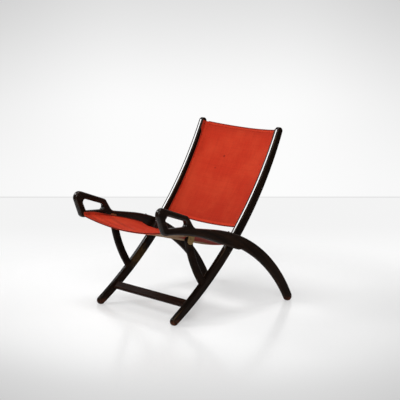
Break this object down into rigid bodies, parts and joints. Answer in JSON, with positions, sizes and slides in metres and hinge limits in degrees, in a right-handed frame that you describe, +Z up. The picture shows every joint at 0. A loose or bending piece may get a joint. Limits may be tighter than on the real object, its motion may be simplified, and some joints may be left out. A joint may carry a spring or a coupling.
{
  "type": "folding armchair",
  "caption": "Folding lounge chair with bent stiles that run on as front legs, bowed arm rails with hand grips and curved rear legs, struts, and a cloth sling seat and back.",
  "frame": {"origin": "on the floor, under the middle of the open chair's outline", "axes": "+X to the sitter's left, +Y to the back of the chair, +Z up"},
  "size_m": [0.551, 0.7695, 0.7562],
  "materials": {
    "dark_wood": "near-black stain under a gloss lacquer, worn brown at the feet",
    "red_cloth": "plain woven red wool cloth",
    "lining_canvas": "plain unbleached canvas",
    "brass": "aged, dull",
    "steel": "bright, lightly aged"
  },
  "bodies": {
    "back_frame": {"left_stile_leg": "dark_wood", "right_stile_leg": "dark_wood", "front_stretcher": "dark_wood", "back_cover": "red_cloth", "back_lining": "lining_canvas", "back_tacks": "steel", "left_pivot_bush": "brass", "right_pivot_bush": "brass", "left_strut_stop": "steel", "right_strut_stop": "steel"},
    "seat_frame": {"left_arm_rail": "dark_wood", "right_arm_rail": "dark_wood", "seat_cover": "red_cloth", "seat_lining": "lining_canvas", "seat_tacks": "steel", "left_pivot_bolt": "steel", "right_pivot_bolt": "steel", "left_pivot_washer": "brass", "right_pivot_washer": "brass", "left_pivot_insert": "steel", "right_pivot_insert": "steel", "left_strut_plate": "brass", "right_strut_plate": "brass", "strut_plate_screws": "brass", "left_strut_rivet": "brass", "right_strut_rivet": "brass", "rail_studs": "brass"},
    "left_strut": {"left_strut": "dark_wood"},
    "right_strut": {"right_strut": "dark_wood"}
  },
  "joints": [
    {"name": "fold", "type": "hinge", "parent": "back_frame", "child": "seat_frame", "pos_m": [0, 0.0564, 0.303], "axis": [-1, 0, 0], "range_deg": [0, 94]},
    {"name": "left_strut_fold", "type": "hinge", "parent": "seat_frame", "child": "left_strut", "pos_m": [0.2364, -0.19051, 0.34057], "axis": [1, 0, 0], "range_deg": [0, 46]},
    {"name": "right_strut_fold", "type": "hinge", "parent": "seat_frame", "child": "right_strut", "pos_m": [-0.2364, -0.19051, 0.34057], "axis": [1, 0, 0], "range_deg": [0, 46]}
  ],
  "couplings": [
    {"joint": "left_strut_fold", "follows": "fold", "ratio": 0.489},
    {"joint": "right_strut_fold", "follows": "fold", "ratio": 0.489}
  ]
}
